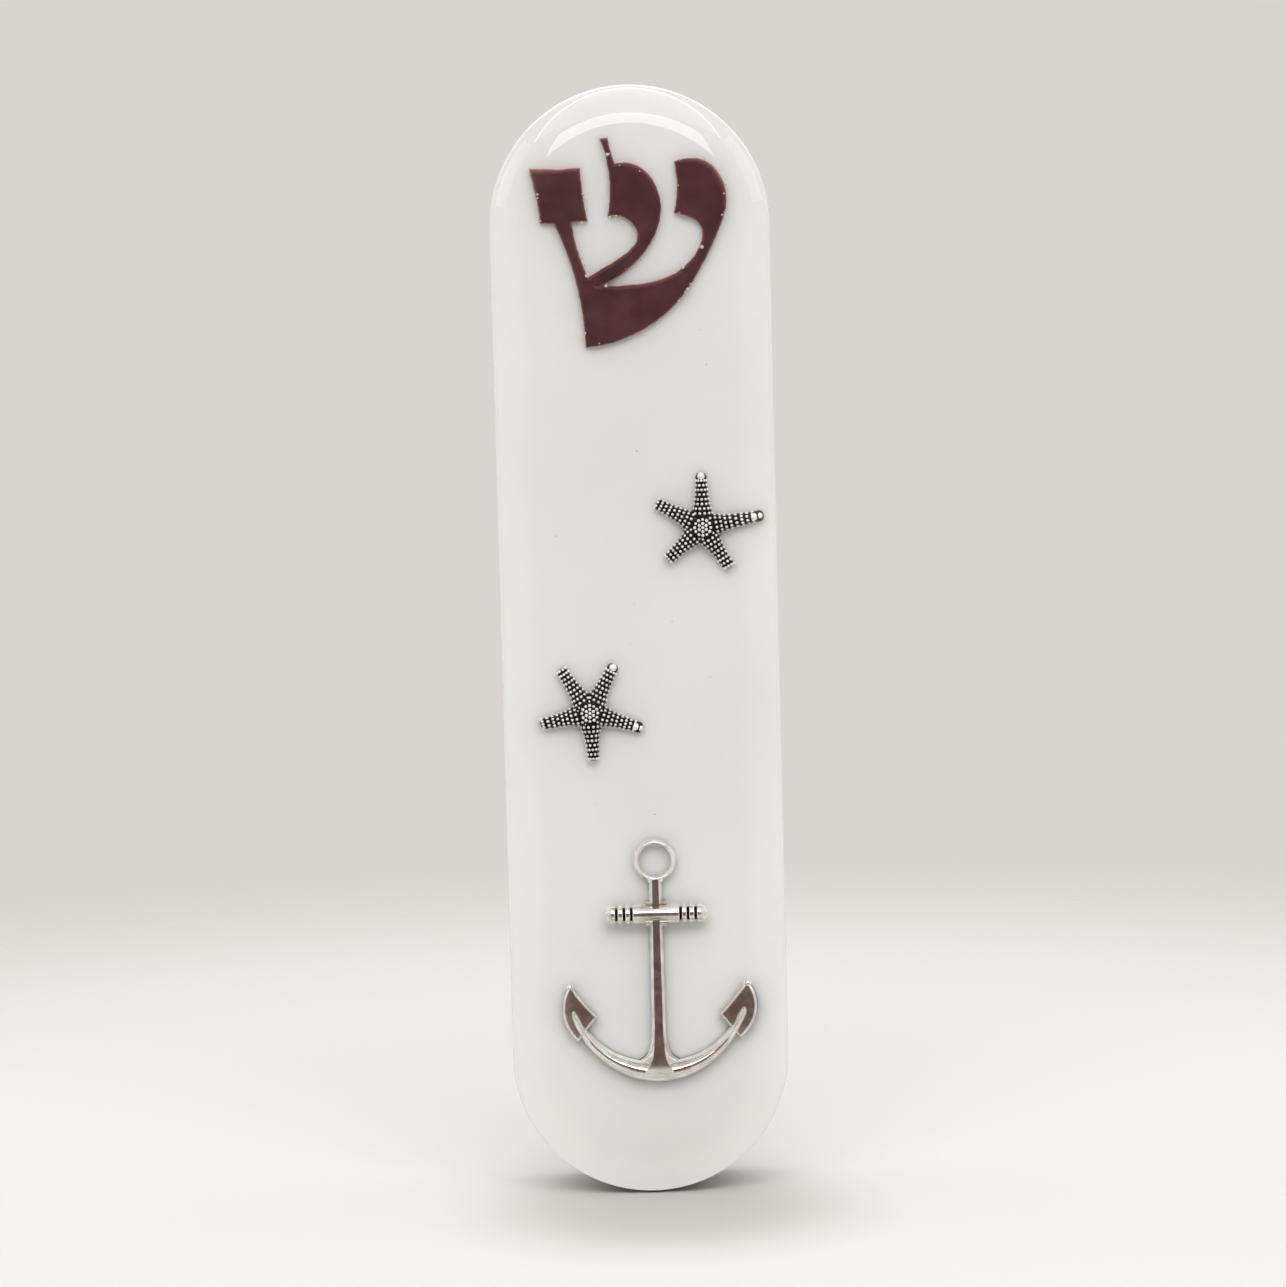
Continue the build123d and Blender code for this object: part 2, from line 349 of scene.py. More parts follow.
# %% Red resin
def red_casting():
    material, tree, shader, place = new_material("red_resin", 0.35)
    shader.inputs["Specular IOR Level"].default_value = 0.15
    depth = ramp(
        tree, piece_attribute(tree, "resin_depth"),
        (0.0, (0.36, 0.15, 0.12)), (0.42, (0.135, 0.044, 0.042)), (1.0, (0.086, 0.032, 0.036)),
    )
    mottle = ramp(
        tree, noise(tree, place, 330, 4.0), (0.35, (0.66, 0.62, 0.64)), (0.62, (1.0, 1.0, 1.0))
    )
    tree.links.new(multiply(tree, depth, mottle), shader.inputs["Base Color"])
    bump(tree, shader, noise(tree, place, 900, 2.0), 0.03)
    return material


red_resin = red_casting()
print("made", red_resin.name)

# %% Dice the letter's face
DICE = 0.17
WOBBLE = 0.05
WOBBLE_SCALE = 2.2

letter_low, letter_high = node_box("shin_letter")
bm = merged_copy("shin_letter")
others = [face for face in bm.faces if face.normal.y > -0.9]
bmesh.ops.delete(bm, geom=others, context="FACES")
for axis in (Vector((1, 0, 0)), Vector((0, 0, 1))):
    start, stop = letter_low.dot(axis), letter_high.dot(axis)
    for count in range(1, int((stop - start) / DICE) + 1):
        bmesh.ops.bisect_plane(
            bm, geom=bm.verts[:] + bm.edges[:] + bm.faces[:], dist=1e-4,
            plane_co=axis * (start + count * DICE), plane_no=axis,
        )
print("diced faces", len(bm.faces))

# %% Roll the rim over
RIM = 0.34
UPRIGHT = 0.35

resin_depth = bm.verts.layers.float.new("resin_depth")
letter_thickness = join_y - letter_low.y
for vertex in bm.verts:
    place = vertex.co * WOBBLE_SCALE
    vertex.co.x += WOBBLE * noise_at(place)
    vertex.co.z += WOBBLE * noise_at(place + Vector((9, 9, 9)))
outline_edges = [edge for edge in bm.edges if edge.is_boundary]
letter_rim_points = [edge.verts[0].co.copy() for edge in outline_edges]
outline_points = letter_rim_points + [
    (edge.verts[0].co + edge.verts[1].co) / 2 for edge in outline_edges
]
tree_of_points = KDTree(len(outline_points))
for index, point in enumerate(outline_points):
    tree_of_points.insert(point, index)
tree_of_points.balance()
front_face = bmesh.ops.extrude_face_region(bm, geom=bm.faces[:])["geom"]
for vertex in bm.verts:
    vertex[resin_depth] = -1.0
front_points = [item for item in front_face if isinstance(item, bmesh.types.BMVert)]
for vertex in front_points:
    depth = min(tree_of_points.find(vertex.co)[2] / RIM, 1.0)
    roll = math.sqrt(1 - (1 - depth) ** 2)
    vertex.co.y = join_y - letter_thickness * (UPRIGHT + (1 - UPRIGHT) * roll)
    vertex[resin_depth] = depth
for vertex in bm.verts:
    if vertex[resin_depth] < 0:
        vertex.co.y = join_y
        vertex[resin_depth] = 0.0
bmesh.ops.recalc_face_normals(bm, faces=bm.faces)
finish_piece(bm, "letter", red_resin, replaces=("shin_letter",))

# %% [markdown]
# ## Air bubbles
# Resin traps air along the edge of whatever is laid in it. Light turns back inside an air
# bubble, so it shows as a pale bright bead, and that brightness is a painted reflection in
# the bubbles' pale colour. The bubbles are strung unevenly along the letter's rim, with a
# few more adrift in the clear layer. Each is a low ball of a few dozen faces, because
# there are many of them.

# %% Air bubbles
RIM_BUBBLES = 46
DRIFTING_BUBBLES = 14
SMALL_BUBBLE, BUBBLE_SPREAD = 0.07, 0.14  # few are much larger than the smallest
RIM_DRIFT = 0.3
ADRIFT_RADII = (0.04, 0.09)

bubble_skin, tree, shader, place = new_material("bubble_skin", 0.12)
shader.inputs["Transmission Weight"].default_value = 0.45
# Painted reflection: the pale colour stands in for the light that turns back inside each bubble.
painted_reflection = ramp(
    tree, noise(tree, place, 1500, 2.0), (0.35, (0.62, 0.55, 0.53)), (0.65, (0.95, 0.92, 0.90))
)
tree.links.new(painted_reflection, shader.inputs["Base Color"])


def bubble(bm, spot, radius):
    """Adds one air bubble."""
    place_there = Matrix.Translation(spot)
    bmesh.ops.create_uvsphere(bm, u_segments=8, v_segments=6, radius=radius, matrix=place_there)


chance = random.Random(7)
bm = bmesh.new()
for count in range(RIM_BUBBLES):
    rim_point = chance.choice(letter_rim_points)
    radius = SMALL_BUBBLE + BUBBLE_SPREAD * chance.random() ** 2
    drift = Vector((
        chance.uniform(-RIM_DRIFT, RIM_DRIFT),
        -chance.uniform(0.0, RIM_DRIFT),
        chance.uniform(-RIM_DRIFT, RIM_DRIFT),
    ))
    bubble(bm, rim_point + drift, radius)
for count in range(DRIFTING_BUBBLES):
    spot = Vector((
        chance.uniform(-0.6, 0.6) * case_radius,
        chance.uniform(join_y - 2.5, join_y - 0.5),
        chance.uniform(-0.9, 0.9) * end_rise,
    ))
    bubble(bm, spot, chance.uniform(*ADRIFT_RADII))
finish_piece(bm, "air_bubbles", bubble_skin)

# %% [markdown]
# ## Charms, made flat on the bench
# The charms are cast in white metal with a flat back. Each is modelled lying on its
# back, with +Z towards the viewer, and stood up against the white resin as the last
# step. Bars and arms share one tool: an outline is carried through a row of stations,
# and each station gives its place, its heading and its size.

# %% Carry an outline through stations
def station(place, heading, width, height):
    """Where a section stands: its middle, the way it faces, and its size."""
    section_upright = Matrix(((0, 0, 1, 0), (1, 0, 0, 0), (0, 1, 0, 0), (0, 0, 0, 1)))
    size = Matrix.Diagonal((width / 2, height, 1, 1))
    turn = Matrix.Rotation(heading, 4, "Z")
    return Matrix.Translation((*place, 0)) @ turn @ section_upright @ size


def carry(bm, section, stations):
    """Carries a flat outline through stations and closes both ends."""
    corners = [bm.verts.new(stations[0] @ Vector((across, up, 0))) for across, up in section]
    end = bm.faces.new(corners)
    for last, this in zip(stations, stations[1:]):
        whole_end = [end, *end.edges, *end.verts]
        grown = bmesh.ops.extrude_face_region(bm, geom=whole_end)["geom"]
        moved = [item for item in grown if isinstance(item, bmesh.types.BMVert)]
        end = next(item for item in grown if isinstance(item, bmesh.types.BMFace))
        bmesh.ops.transform(bm, matrix=this @ last.inverted(), verts=moved)


def half_round(steps):
    """A flat-backed round section, one wide each side and one high."""
    turns = [math.pi * step / steps for step in range(steps + 1)]
    return [(math.cos(turn), math.sin(turn)) for turn in turns]


def stand_up(bm, x, z):
    """Turns a charm from flat on its back to upright against the white resin."""
    bmesh.ops.rotate(bm, cent=(0, 0, 0), matrix=Matrix.Rotation(math.pi / 2, 3, "X"), verts=bm.verts)
    bmesh.ops.translate(bm, vec=(x, join_y, z), verts=bm.verts)


print("half round section has", len(half_round(12)), "corners")

# %% [markdown]
# ## Silver with tarnish
# Jewellery makers darken a charm all over and then polish its high places. So each charm
# carries a tarnish value on its vertices: near one in the hollows and nothing on what
# stands proud. The shader turns that into black or bright metal.

# %% Silver
def tarnished_silver(name, bright, roughness, metallic):
    """Metal that is bright where tarnish is nothing and black where it is one."""
    material, tree, shader, place = new_material(name, roughness)
    shader.inputs["Metallic"].default_value = metallic
    shader.inputs["Specular IOR Level"].default_value = 0.2
    black = (0.006, 0.005, 0.005)
    tarnish = piece_attribute(tree, "tarnish")
    metal = ramp(tree, tarnish, (0.0, bright), (0.55, (0.10, 0.085, 0.08)), (1.0, black))
    stain = ramp(
        tree, noise(tree, place, 700, 3.0), (0.30, (0.78, 0.74, 0.70)), (0.60, (1.0, 1.0, 1.0))
    )
    tree.links.new(multiply(tree, metal, stain), shader.inputs["Base Color"])
    rub = spread(tree, noise(tree, place, 1400, 2.0), roughness - 0.06, roughness + 0.08)
    tree.links.new(rub, shader.inputs["Roughness"])
    bump(tree, shader, noise(tree, place, 2200, 1.0), 0.008)
    return material


antique_silver = tarnished_silver("antique_silver", (0.98, 0.97, 0.94), 0.36, 0.35)
bright_silver = tarnished_silver("bright_silver", (0.96, 0.94, 0.89), 0.14, 1.0)
print("made", antique_silver.name, bright_silver.name)

# %% [markdown]
# ## Starfish charms
# A starfish charm is a low dome with five tapering arms, covered in rows of fine beads.
# The arms are carried half rounds. The beads go on by formula: rings on the dome, and on
# each arm a row at every pitch, with as many beads as fit round the arm there and every
# second row shifted by half a bead. Two of the arms end in a pair of smooth knobs, and on
# the longest arm they stand apart, as the stub of a hanging loop.

# %% Starfish sizes
ARMS = ((90.5, 5.9), (151.5, 5.7), (222.0, 5.25), (302.0, 5.3), (10.5, 6.0))
ARM_WIDTHS = ((0.0, 2.7), (1.6, 2.25), (2.3, 1.8), (3.2, 1.5), (4.8, 1.25))
ARM_TIP_WIDTH = 0.5
DOME_RADIUS = 1.85
DOME_HEIGHT = 1.6
BEAD_PITCH = 0.5
BEAD_RADIUS = 0.155
BEAD_SPACING = 0.66
TOP_BEAD_RADIUS = 0.2
DOME_RINGS, RING_PITCH = 3, 0.42
FIRST_ROW = 1.5  # from the middle to an arm's first row of beads
SIDE_ROOM, TOP_ROOM = 0.06, 0.12  # what the beads take off an arm's width and height
ARM_TIP = ((0.45, 1.0), (0.2, 0.8), (0.08, 0.45))  # short of the end, share of the size


def arm_width(out):
    """Width of an arm at a distance from the middle of the starfish."""
    for (near, wide), (far, narrow) in zip(ARM_WIDTHS, ARM_WIDTHS[1:]):
        if out <= far:
            return wide + (narrow - wide) * (out - near) / (far - near)
    return ARM_WIDTHS[-1][1]


def bare_arm(out):
    """Width and height of an arm under its beads."""
    width = arm_width(out)
    return width - SIDE_ROOM, 0.35 + 0.55 * width - TOP_ROOM


def starfish_box(turn):
    """Middle of the box round the five arm tips, which is where the CAD box is."""
    corners = []
    for degrees, reach in ARMS:
        heading = math.radians(degrees + turn)
        for side in (-1, 1):
            tip = Vector((reach, side * ARM_TIP_WIDTH / 2)).to_3d()
            corners.append(Matrix.Rotation(heading, 3, "Z") @ tip)
    xs = [corner.x for corner in corners]
    ys = [corner.y for corner in corners]
    return (min(xs) + max(xs)) / 2, (min(ys) + max(ys)) / 2


print("arm widths", [round(arm_width(out), 2) for out in (1, 2, 3, 4, 5)])


# %% One bead
bm = bmesh.new()
bmesh.ops.create_uvsphere(bm, u_segments=8, v_segments=6, radius=1.0)
bead_ball = bpy.data.meshes.new("bead_ball")
bm.to_mesh(bead_ball)
bm.free()
print("bead faces", len(bead_ball.polygons))


def bead(bm, place, radius):
    """Adds one ball to a charm. It brings no tarnish, so it stays bright."""
    ball = bead_ball.copy()
    ball.transform(Matrix.Translation(place) @ Matrix.Scale(radius, 4))
    bm.from_mesh(ball)
    bpy.data.meshes.remove(ball)


# %% Starfish arms and beads
def starfish_arm(bm, heading, reach):
    """A tapering half-round arm with a rounded tip."""
    stops = [(out, 1.0) for out, width in ARM_WIDTHS]
    stops += [(reach - short, share) for short, share in ARM_TIP]
    along = Vector((math.cos(heading), math.sin(heading)))
    stations = []
    for out, share in stops:
        width, height = bare_arm(out)
        stations.append(station(along * out, heading, width * share, height * share))
    carry(bm, half_round(12), stations)


def arm_beads(bm, heading, reach, smooth_end):
    """Rows of beads across an arm, every second row shifted by half a bead."""
    out = FIRST_ROW
    row = 0
    while out < reach - smooth_end:
        width, height = bare_arm(out)
        along = Vector((math.cos(heading), math.sin(heading)))
        here = station(along * out, heading, width, height)
        round_length = math.pi * (width / 2 + height) / 2
        across = max(2, round(round_length / BEAD_SPACING)) + row % 2
        for count in range(across):
            turn = math.pi * (count + 0.75) / (across + 0.5)
            place = here @ Vector((math.cos(turn), math.sin(turn), 0))
            bead(bm, place, BEAD_RADIUS)
        out += BEAD_PITCH
        row += 1


def dome_beads(bm):
    """Rings of beads on the dome, with larger ones at its top."""
    bead(bm, (0, 0, DOME_HEIGHT), TOP_BEAD_RADIUS)
    for ring in range(1, DOME_RINGS + 1):
        radius = ring * RING_PITCH
        height = DOME_HEIGHT * math.sqrt(1 - (radius / (DOME_RADIUS + 0.1)) ** 2)
        size = TOP_BEAD_RADIUS if ring < DOME_RINGS else BEAD_RADIUS
        for count in range(6 * ring):
            turn = math.tau * (count + 0.5 * (ring % 2)) / (6 * ring)
            bead(bm, (radius * math.cos(turn), radius * math.sin(turn), height), size)


# %% A whole starfish
KNOB_ARMS = {0: 0.45, 4: 0.85}
KNOB_RADIUS = 0.36
KNOB_RISE, STUB_RISE = 0.55, 0.62
STUB_GROWTH = 1.2
PLAIN_TIP = 0.15  # end of an arm that its beads leave free


def starfish(name, turn):
    """A beaded starfish charm, turned in degrees, in place of its CAD node."""
    bm = bmesh.new()
    tarnish = bm.verts.layers.float.new("tarnish")
    for degrees, reach in ARMS:
        starfish_arm(bm, math.radians(degrees + turn), reach)
    dome = bmesh.ops.create_uvsphere(bm, u_segments=32, v_segments=16, radius=1.0)["verts"]
    bmesh.ops.scale(bm, vec=(DOME_RADIUS, DOME_RADIUS, DOME_HEIGHT), verts=dome)
    bmesh.ops.bisect_plane(
        bm, geom=bm.verts[:] + bm.edges[:] + bm.faces[:], dist=1e-5,
        plane_co=(0, 0, 0), plane_no=(0, 0, -1), clear_outer=True,
    )
    bmesh.ops.holes_fill(bm, edges=[edge for edge in bm.edges if edge.is_boundary])
    for vertex in bm.verts:
        vertex[tarnish] = 1.0
    for index, (degrees, reach) in enumerate(ARMS):
        heading = math.radians(degrees + turn)
        smooth_end = KNOB_ARMS.get(index, PLAIN_TIP)
        arm_beads(bm, heading, reach, smooth_end)
        if index in KNOB_ARMS:
            along = Vector((math.cos(heading), math.sin(heading), 0))
            bead(bm, along * (reach - KNOB_RADIUS) + Vector((0, 0, KNOB_RISE)), KNOB_RADIUS)
            stub = along * (reach - smooth_end) + Vector((0, 0, STUB_RISE))
            bead(bm, stub, STUB_GROWTH * KNOB_RADIUS)
    dome_beads(bm)
    bmesh.ops.recalc_face_normals(bm, faces=bm.faces)
    low, high = node_box(name)
    shift_x, shift_z = starfish_box(turn)
    stand_up(bm, (low.x + high.x) / 2 - shift_x, (low.z + high.z) / 2 - shift_z)
    return finish_piece(
        bm, name.replace("starfish", "starfish_charm"), antique_silver,
        replaces=(name,),
    )


LOWER_TURN = -29.0
starfish("starfish_upper", 0.0)
starfish("starfish_lower", LOWER_TURN)

# %% [markdown]
# ## Anchor charm
# The anchor is one casting with plain, well-polished shapes: a ring, a shank with a flat
# ridge down its front, a round stock with three grooves at each end, curved arms, and a
# leaf-shaped palm at the end of each arm. The flat faces look straight at the viewer and
# mirror the dark side of the room, and the round ones catch the lamps, which is what
# draws the charm. Each shape is modelled as its own closed form inside one mesh.

# %% Anchor sizes
ANCHOR_HEIGHT = 26.6
RING_RADIUS, RING_WIRE = 2.0, 0.29
STOCK_DROP = 5.8
STOCK_REACH, STOCK_RADIUS = 5.7, 1.02
STOCK_LIFT = 0.95  # from the charm's back to the bar's axis
COLLAR_RISE, COLLAR_REACH = 1.15, 1.15
GROOVES, GROOVE_WIDTH, GROOVE_DEPTH = (2.66, 3.45, 4.28), 0.3, 0.3
LIP_WIDTH, LIP_DROP = 0.08, 0.06
ARM_RADIUS, ARM_SWEEP = 9.62, 74.0
ring_middle = ANCHOR_HEIGHT / 2 - RING_RADIUS - RING_WIRE
stock_middle = ring_middle - STOCK_DROP
arm_centre = 1.15 - ANCHOR_HEIGHT / 2 + ARM_RADIUS
print("stock at", round(stock_middle, 2), "arms turn about", round(arm_centre, 2))


# %% Ring
def anchor_ring(bm):
    """A round wire bent into a ring, with the small block that joins it to the shank."""
    wire = bmesh.ops.create_circle(
        bm, segments=14, radius=RING_WIRE,
        matrix=Matrix.Translation((RING_RADIUS, 0, 0)) @ Matrix.Rotation(math.pi / 2, 4, "X"),
    )["verts"]
    loop = {edge for vertex in wire for edge in vertex.link_edges}
    bmesh.ops.spin(
        bm, geom=wire + list(loop), cent=(0, 0, 0), axis=(0, 0, 1), angle=math.tau, steps=56,
        use_merge=True,
    )
    bmesh.ops.scale(bm, vec=(1, 1, 1.5), verts=bm.verts)
    bmesh.ops.translate(bm, vec=(0, ring_middle, 0.5), verts=bm.verts)
    neck = ring_middle - RING_RADIUS - 0.25
    carry(bm, half_round(10), [station((x, neck), 0, 0.75, 1.15) for x in (-0.8, 0.8)])


# %% Stock
def anchor_stock(bm, tarnish):
    """A round bar turned on a lathe, with black grooves, flattened at its back."""
    half = [(0.0, STOCK_RADIUS)]
    for groove in GROOVES:
        inner, outer = groove - GROOVE_WIDTH / 2, groove + GROOVE_WIDTH / 2
        half += [(inner - LIP_WIDTH, STOCK_RADIUS), (inner, STOCK_RADIUS - LIP_DROP)]
        half += [(inner + 0.02, STOCK_RADIUS - GROOVE_DEPTH)]
        half += [(outer - 0.02, STOCK_RADIUS - GROOVE_DEPTH)]
        half += [(outer, STOCK_RADIUS - LIP_DROP), (outer + LIP_WIDTH, STOCK_RADIUS)]
    cap_start = half[-1][0]
    for step in range(1, 9):
        turn = math.pi / 2 * step / 8
        reach = cap_start + (STOCK_REACH - cap_start) * math.sin(turn)
        half.append((reach, STOCK_RADIUS * math.cos(turn) ** 0.8))
    profile = [(-x, r) for x, r in reversed(half[1:])] + half
    before = set(bm.verts)
    points = [bm.verts.new((x, stock_middle + max(r, 0), 0)) for x, r in profile]
    edges = [bm.edges.new(pair) for pair in zip(points, points[1:])]
    bmesh.ops.spin(
        bm, geom=points + edges, cent=(0, stock_middle, 0), axis=(1, 0, 0), angle=math.tau,
        steps=40, use_merge=True,
    )
    bar = [vertex for vertex in bm.verts if vertex not in before]
    bmesh.ops.remove_doubles(bm, verts=bar, dist=1e-4)
    bar = [vertex for vertex in bm.verts if vertex not in before]
    for vertex in bar:
        out = math.hypot(vertex.co.y - stock_middle, vertex.co.z)
        in_groove = min(abs(abs(vertex.co.x) - groove) for groove in GROOVES) < GROOVE_WIDTH / 2
        if in_groove and out < STOCK_RADIUS - 0.15:
            vertex[tarnish] = 1.0
    bmesh.ops.translate(bm, vec=(0, 0, STOCK_LIFT), verts=bar)


# %% Shank, ridge and crown
RIDGE = ((-1, 0), (1, 0), (0.8, 1), (-0.8, 1))
DOWN = -math.pi / 2


def anchor_shank(bm):
    """A rounded bar that flares into the arms, with a flat ridge that widens as it falls."""
    top = ring_middle - RING_RADIUS - 0.1
    foot = -ANCHOR_HEIGHT / 2
    bar = (
        (top, 1.5, 1.35), (foot + 6.0, 1.65, 1.4), (foot + 4.4, 1.85, 1.4), (foot + 3.5, 2.35, 1.35),
        (foot + 2.9, 3.2, 1.3), (foot + 2.4, 4.7, 1.2), (foot + 1.9, 6.8, 1.0),
    )
    carry(bm, half_round(14), [station((0, z), DOWN, width, height) for z, width, height in bar])
    ridge = (
        (top, 0.85, 1.75), (foot + 6.0, 1.1, 1.8), (foot + 3.6, 1.4, 1.85), (foot + 2.7, 1.8, 1.85),
        (foot + 2.0, 2.5, 1.85), (foot + 1.45, 3.5, 1.8), (foot + 1.0, 4.3, 1.65), (foot + 0.8, 4.2, 1.4),
    )
    carry(bm, RIDGE, [station((0, z), DOWN, width, height) for z, width, height in ridge])
    for rise in (-COLLAR_RISE, COLLAR_RISE):
        ends = [(x, stock_middle + rise) for x in (-COLLAR_REACH, COLLAR_REACH)]
        carry(bm, half_round(8), [station(end, 0, 0.5, 1.5) for end in ends])


# %% Arms and palms
def arc_through(start, middle, end, steps):
    """Points on the arc from start to end that passes through middle."""
    a, b, c = Vector(start), Vector(middle), Vector(end)
    turn = 2 * (a.x * (b.y - c.y) + b.x * (c.y - a.y) + c.x * (a.y - b.y))
    aa, bb, cc = a.length_squared, b.length_squared, c.length_squared
    centre = Vector((
        (aa * (b.y - c.y) + bb * (c.y - a.y) + cc * (a.y - b.y)) / turn,
        (aa * (c.x - b.x) + bb * (a.x - c.x) + cc * (b.x - a.x)) / turn,
    ))
    sweep = (a - centre).angle_signed(b - centre) + (b - centre).angle_signed(c - centre)
    spokes = [Matrix.Rotation(-sweep * step / steps, 2) @ (a - centre) for step in range(steps + 1)]
    return [centre + spoke for spoke in spokes]


PALM_HEIGHT = 1.15
PALM_RIM = 0.28
TIP_RADIUS, TIP_OUT, TIP_DROP, TIP_RISE = 0.42, 9.5, 2.65, 0.8
palm_outline = arc_through((9.45, -2.3), (10.3, -5.4), (8.75, -8.6), 12)
palm_outline += [Vector((7.7, -7.2))]
palm_outline += arc_through((6.6, -5.9), (8.0, -4.4), (9.45, -2.3), 10)[:-1]


def anchor_palm(bm, side):
    """A flat leaf with a softened rim, on the right for side 1 and the left for side -1."""
    corners = [bm.verts.new((side * point.x, point.y, 0)) for point in palm_outline]
    leaf = bm.faces.new(corners)
    leaf.normal_update()
    grown = bmesh.ops.extrude_face_region(bm, geom=[leaf])["geom"]
    top = [item for item in grown if isinstance(item, bmesh.types.BMVert)]
    bmesh.ops.translate(bm, vec=(0, 0, PALM_HEIGHT), verts=top)
    rim = {edge for vertex in top for edge in vertex.link_edges if edge.other_vert(vertex) in top}
    bmesh.ops.bevel(
        bm, geom=list(rim), offset=PALM_RIM, offset_type="OFFSET", affect="EDGES", segments=4,
        profile=0.5, material=-1, clamp_overlap=True,
    )
    bmesh.ops.create_uvsphere(
        bm, u_segments=16, v_segments=10, radius=TIP_RADIUS,
        matrix=Matrix.Translation((side * TIP_OUT, -TIP_DROP, TIP_RISE)),
    )


def anchor_arms(bm):
    """Both arms as one tapering half round that ends as a rib over each palm."""
    taper = ((0, 2.3, 1.6), (15, 2.15, 1.55), (40, 1.45, 1.45), (58, 1.15, 1.55), (66, 0.95, 1.75))
    taper += ((ARM_SWEEP - 3, 0.85, 1.7), (ARM_SWEEP - 1, 0.6, 1.55), (ARM_SWEEP, 0.2, 1.35))
    stations = []
    for sign in (-1, 1):
        half = []
        for (turn, width, height), (next_turn, next_width, next_height) in zip(taper, taper[1:]):
            pieces = max(1, round((next_turn - turn) / 4))
            for piece in range(pieces):
                part = piece / pieces
                half.append((
                    turn + (next_turn - turn) * part,
                    width + (next_width - width) * part,
                    height + (next_height - height) * part,
                ))
        half.append(taper[-1])
        for turn, width, height in (reversed(half) if sign < 0 else half[1:]):
            heading = math.radians(sign * turn)
            place = (ARM_RADIUS * math.sin(heading), arm_centre - ARM_RADIUS * math.cos(heading))
            stations.append(station(place, heading, width, height))
    carry(bm, half_round(12), stations)


# %% A whole anchor
FOOT_HEIGHT, FOOT_PAINTED_SHADE = 0.30, 0.9  # tarnish value near one at the foot, as painted shade where the charm meets the resin

bm = bmesh.new()
tarnish = bm.verts.layers.float.new("tarnish")
anchor_ring(bm)
anchor_stock(bm, tarnish)
anchor_shank(bm)
anchor_arms(bm)
for side in (-1, 1):
    anchor_palm(bm, side)
# Painted shade: the charm's foot, where it meets the resin, is made nearly black.
for vertex in bm.verts:
    if vertex.co.z < FOOT_HEIGHT:
        vertex[tarnish] = FOOT_PAINTED_SHADE
bmesh.ops.recalc_face_normals(bm, faces=bm.faces)
anchor_low, anchor_high = node_box("anchor_charm")
stand_up(bm, (anchor_low.x + anchor_high.x) / 2, anchor_low.z + ANCHOR_HEIGHT / 2)
finish_piece(bm, "anchor", bright_silver, replaces=("anchor_charm",))

# %% [markdown]
# ## Back cover
# A thin plate of white styrene closes the channel. It is cut from sheet, so its edges
# are only eased, and its face has the faint orange-peel of rolled plastic.

# %% White plastic and the cover plate
def rolled_plastic():
    material, tree, shader, place = new_material("white_plastic", 0.38)
    tone = ramp(
        tree, noise(tree, place, 90, 3.0), (0.3, (0.76, 0.76, 0.74)), (0.7, (0.82, 0.82, 0.80))
    )
    tree.links.new(tone, shader.inputs["Base Color"])
    scuff = noise(tree, place, 260, 4.0, stretch=(6, 1, 1))
    tree.links.new(spread(tree, scuff, 0.28, 0.52), shader.inputs["Roughness"])
    bump(tree, shader, noise(tree, place, 1500, 2.0), 0.02)
    return material


def eased_copy(name, radius, segments=3):
    """A merged copy of a CAD node with its sharp edges rounded."""
    bm = whole_copy(name)
    bmesh.ops.bevel(
        bm, geom=sharp_edges(bm), offset=radius, offset_type="OFFSET", affect="EDGES",
        segments=segments, profile=0.5, material=-1, clamp_overlap=True,
    )
    return bm


finish_piece(
    eased_copy("back_cover", 0.2), "cover_plate", rolled_plastic(),
    body="cover", replaces=("back_cover",),
)

# %% [markdown]
# ## Foam strips
# The mounting strips are double-sided foam tape. Foam is cut, not moulded, so its long
# edges are a little uneven. The strip is sliced across at every millimetre, and then a
# soft noise draws its sides in, more in one place and less in the next.

# %% Foam and its strips
def closed_cell_foam():
    material, tree, shader, place = new_material("foam_tape", 0.92)
    # Painted shade in the pores: the middles of the cells, where the bump sinks into pits, are darker.
    pores = ramp(
        tree, cells(tree, place, 2200), (0.0, (0.60, 0.59, 0.56)), (0.35, (0.80, 0.79, 0.76))
    )
    tree.links.new(pores, shader.inputs["Base Color"])
    bump(tree, shader, cells(tree, place, 2200), 0.12)
    return material


SLICE = 1.0
UNEVEN = 0.07
foam_tape = closed_cell_foam()


def foam_strip(name, body):
    """A foam strip with eased corners and uneven cut sides."""
    low, high = node_box(name)
    bm = eased_copy(name, 0.06, segments=2)
    for count in range(1, int((high.z - low.z) / SLICE)):
        bmesh.ops.bisect_plane(
            bm, geom=bm.verts[:] + bm.edges[:] + bm.faces[:], dist=1e-5,
            plane_co=(0, 0, low.z + count * SLICE), plane_no=(0, 0, 1),
        )
    middle = (low.x + high.x) / 2
    for vertex in bm.verts:
        wave = noise_at(vertex.co * 0.8)
        pull = 1 - UNEVEN * (0.5 + 0.5 * wave) / (high.x - middle)
        vertex.co.x = middle + (vertex.co.x - middle) * pull
    bmesh.ops.recalc_face_normals(bm, faces=bm.faces)
    return finish_piece(bm, name + "_foam", foam_tape, body=body, replaces=(name,))


for name in ("left_tape", "right_tape"):
    foam_strip(name, "case")

# %% [markdown]
# ## Release papers
# Each strip's outer face is covered by a waxed paper until it is mounted. The paper is a
# hair wider than the foam and runs on past its lower end as a tab with rounded corners.

# %% Release paper
def waxed_paper():
    material, tree, shader, place = new_material("release_paper", 0.45)
    fibres = noise(tree, place, 5200, 3.0, stretch=(1, 1, 0.4))
    tone = ramp(tree, fibres, (0.30, (0.63, 0.71, 0.655)), (0.70, (0.70, 0.78, 0.72)))
    tree.links.new(tone, shader.inputs["Base Color"])
    shader.inputs["Coat Weight"].default_value = 0.25
    shader.inputs["Coat Roughness"].default_value = 0.3
    bump(tree, shader, noise(tree, place, 3200, 3.0), 0.012)
    return material


LINER_CORNER = 1.2
release_paper = waxed_paper()


